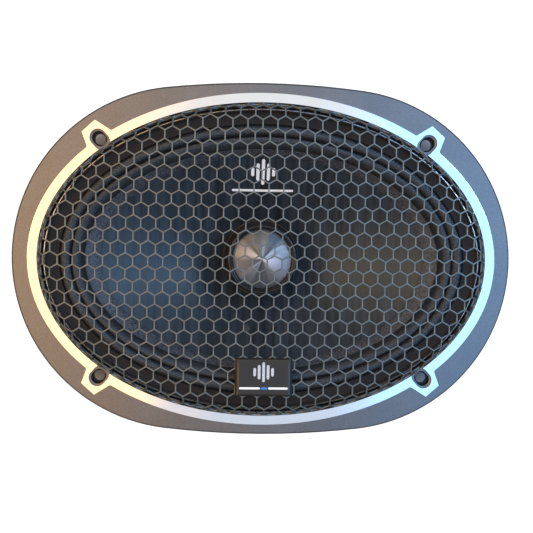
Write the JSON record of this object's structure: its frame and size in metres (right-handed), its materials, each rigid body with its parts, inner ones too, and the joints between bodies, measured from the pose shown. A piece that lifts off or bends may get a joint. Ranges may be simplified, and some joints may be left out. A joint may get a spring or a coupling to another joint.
{
  "type": "coaxial car speaker",
  "caption": "Oval coaxial car loudspeaker: cone with cloth surround and a central dome tweeter behind a hexagon mesh grille, in a cast basket with a magnet motor.",
  "frame": {"origin": "centre of the four-screw pattern in the mounting plane, which is the flange's rear face", "axes": "+X along the long side of the oval, +Y across it, +Z out of the front of the speaker"},
  "size_m": [0.2384, 0.1684, 0.0908],
  "materials": {
    "basket": "satin grey paint on die-cast aluminium",
    "trim_ring": "bright polished",
    "grille": "semi-gloss dark metallic paint",
    "badge_plate": "gloss black",
    "badge_mark": "silver and white print",
    "surround_gasket": "satin black with a glossy rounded lip",
    "mounting_gasket": "matt foam",
    "cone": "dark pressed pulp, coated",
    "surround": "doped cloth",
    "spider": "resin-treated cotton",
    "voice_coil_former": "black coated former",
    "voice_coil_winding": "enamelled copper wire",
    "dust_ring": "felt",
    "top_plate": "zinc plated",
    "magnet": "ground ferrite",
    "pole_yoke": "zinc plated",
    "magnet_boot": "moulded rubber",
    "top_plate_screws": "black zinc",
    "tweeter_post": "zinc plated",
    "post_nut": "zinc plated",
    "tweeter_cup": "moulded",
    "tweeter_yoke": "plated",
    "tweeter_magnet": "nickel plated neodymium",
    "tweeter_top_plate": "plated",
    "tweeter_coil": "enamelled wire",
    "tweeter_dome": "turned, circular brushing",
    "tweeter_surround": "thin film",
    "tweeter_bezel": "gloss black",
    "terminal_board": "phenolic board",
    "terminal_rivets": "plain",
    "terminal_positive": "tinned brass",
    "terminal_negative": "tinned brass",
    "lead_eyelets": "soldered eyelets",
    "tinsel_lead_positive": "braided tinsel wire",
    "tinsel_lead_negative": "braided tinsel wire",
    "capacitor": "shrink sleeve",
    "capacitor_clip": "moulded",
    "tweeter_leads": "insulated wire"
  },
  "bodies": {
    "basket": {"basket": "basket", "trim_ring": "trim_ring", "grille": "grille", "badge_plate": "badge_plate", "badge_mark": "badge_mark", "surround_gasket": "surround_gasket", "mounting_gasket": "mounting_gasket", "top_plate": "top_plate", "magnet": "magnet", "pole_yoke": "pole_yoke", "magnet_boot": "magnet_boot", "top_plate_screws": "top_plate_screws", "tweeter_post": "tweeter_post", "post_nut": "post_nut", "tweeter_cup": "tweeter_cup", "tweeter_yoke": "tweeter_yoke", "tweeter_magnet": "tweeter_magnet", "tweeter_top_plate": "tweeter_top_plate", "tweeter_bezel": "tweeter_bezel", "terminal_board": "terminal_board", "terminal_rivets": "terminal_rivets", "terminal_positive": "terminal_positive", "terminal_negative": "terminal_negative", "capacitor": "capacitor", "capacitor_clip": "capacitor_clip", "tweeter_leads": "tweeter_leads"},
    "cone_assembly": {"cone": "cone", "surround": "surround", "spider": "spider", "voice_coil_former": "voice_coil_former", "voice_coil_winding": "voice_coil_winding", "dust_ring": "dust_ring", "lead_eyelets": "lead_eyelets", "tinsel_lead_positive": "tinsel_lead_positive", "tinsel_lead_negative": "tinsel_lead_negative"},
    "tweeter_diaphragm": {"tweeter_dome": "tweeter_dome", "tweeter_surround": "tweeter_surround", "tweeter_coil": "tweeter_coil"}
  },
  "joints": [
    {"name": "cone_travel", "type": "slide", "parent": "basket", "child": "cone_assembly", "axis": [0, 0, 1], "range_m": [-0.004, 0.004], "stiffness_N_per_m": 4000, "deforming": ["surround", "spider", "tinsel_lead_positive", "tinsel_lead_negative"]},
    {"name": "tweeter_travel", "type": "slide", "parent": "basket", "child": "tweeter_diaphragm", "axis": [0, 0, 1], "range_m": [-0.0003, 0.0003], "stiffness_N_per_m": 4000, "deforming": ["tweeter_surround"]}
  ]
}
